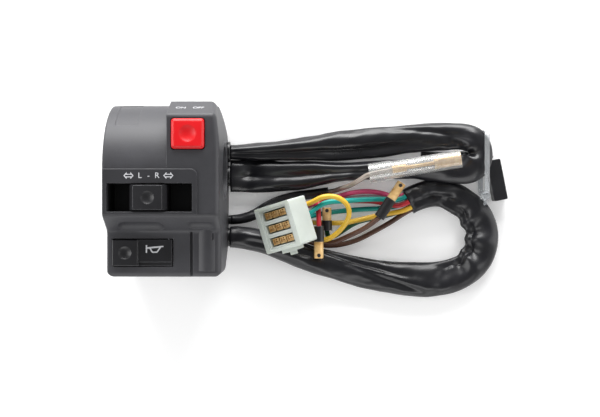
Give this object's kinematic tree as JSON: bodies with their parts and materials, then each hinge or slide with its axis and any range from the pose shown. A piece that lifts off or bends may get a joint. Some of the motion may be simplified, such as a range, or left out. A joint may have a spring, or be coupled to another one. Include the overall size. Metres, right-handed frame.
{
  "type": "handlebar switch cluster",
  "caption": "Two-piece handlebar switch housing with a sliding signal switch, a rocking horn button, a red push button and its sleeved wiring harness with plugs",
  "frame": {"origin": "on the axis of the handlebar's bore, halfway along the housing", "axes": "+X along the handlebar towards the side where the harness leaves, +Y from the bar towards the red button, +Z out of the face with the controls"},
  "size_m": [0.1685, 0.0798, 0.0516],
  "materials": {
    "housing": "satin moulded black",
    "knob_plastic": "smooth moulded black",
    "inner_plastic": "plain moulded dark grey",
    "red_plastic": "smooth moulded red",
    "zinc_screws": "zinc plated",
    "spring_steel": "plain steel",
    "brass_contacts": "plain brass, a little dull",
    "soft_black": "soft black",
    "sleeve_vinyl": "glossy thin black vinyl",
    "white_nylon": "slightly see-through white",
    "clear_nylon": "clear nylon",
    "clear_vinyl": "clear soft tube",
    "yellow_insulation": "soft yellow insulation",
    "magenta_insulation": "soft pink-red insulation",
    "white_insulation": "soft white insulation",
    "teal_insulation": "soft blue-green insulation",
    "brown_insulation": "soft brown insulation",
    "red_insulation": "soft red insulation",
    "green_insulation": "soft dark green insulation",
    "clear_insulation": "clear insulation over copper"
  },
  "bodies": {
    "housing": {"rear_housing": "housing", "front_housing": "housing", "housing_screws": "zinc_screws", "sleeve_gland": "soft_black", "loop_gland": "soft_black", "lead_gland": "soft_black", "turn_switch_frame": "inner_plastic", "turn_contact_board": "inner_plastic", "turn_fixed_contacts": "brass_contacts", "turn_frame_screws": "zinc_screws", "horn_hinge_pin": "spring_steel", "horn_fixed_contact": "brass_contacts", "horn_switch_base": "inner_plastic", "horn_base_screws": "zinc_screws", "red_switch_case": "inner_plastic", "red_fixed_contacts": "brass_contacts", "red_case_screws": "zinc_screws", "folded_sleeve": "sleeve_vinyl", "looped_sleeve": "sleeve_vinyl", "thin_lead": "sleeve_vinyl", "cable_tie": "clear_nylon", "small_connector": "knob_plastic", "small_connector_lead": "sleeve_vinyl", "nine_way_connector": "white_nylon", "connector_terminals": "brass_contacts", "clear_insulator": "clear_vinyl", "insulated_terminal": "brass_contacts", "bullet_terminals": "brass_contacts", "bullet_sleeves": "soft_black", "yellow_loop_wire": "yellow_insulation", "yellow_wire": "yellow_insulation", "magenta_wire": "magenta_insulation", "white_wire": "white_insulation", "upper_teal_wire": "teal_insulation", "lower_teal_wire": "teal_insulation", "upper_brown_wire": "brown_insulation", "lower_brown_wire": "brown_insulation", "red_wire": "red_insulation", "green_wire": "green_insulation", "clear_wire": "clear_insulation"},
    "turn_carriage": {"turn_carriage": "inner_plastic", "turn_moving_contact": "brass_contacts", "turn_detent_ball": "spring_steel", "turn_detent_spring": "spring_steel"},
    "turn_knob": {"turn_knob": "knob_plastic", "turn_knob_spring": "spring_steel"},
    "horn_button": {"horn_button": "knob_plastic", "horn_moving_contact": "brass_contacts", "horn_spring": "spring_steel"},
    "red_button": {"red_button": "red_plastic", "red_moving_contact": "brass_contacts", "red_button_spring": "spring_steel"}
  },
  "joints": [
    {"name": "turn_slide", "type": "slide", "parent": "housing", "child": "turn_carriage", "axis": [1, 0, 0], "range_m": [-0.007, 0.007]},
    {"name": "turn_push", "type": "slide", "parent": "turn_carriage", "child": "turn_knob", "axis": [0, 0, -1], "range_m": [0, 0.002], "stiffness_N_per_m": 900, "springref_m": -0.001, "deforming": ["turn_knob_spring"]},
    {"name": "horn_rock", "type": "hinge", "parent": "housing", "child": "horn_button", "pos_m": [0.0015, -0.0327, 0.0124], "axis": [0, -1, 0], "range_deg": [0, 3], "stiffness_Nm_per_rad": 0.3, "springref_deg": -5.73, "deforming": ["horn_spring"]},
    {"name": "red_push", "type": "slide", "parent": "housing", "child": "red_button", "axis": [0, 0, -1], "range_m": [0, 0.003], "stiffness_N_per_m": 800, "springref_m": -0.001, "deforming": ["red_button_spring"]}
  ]
}
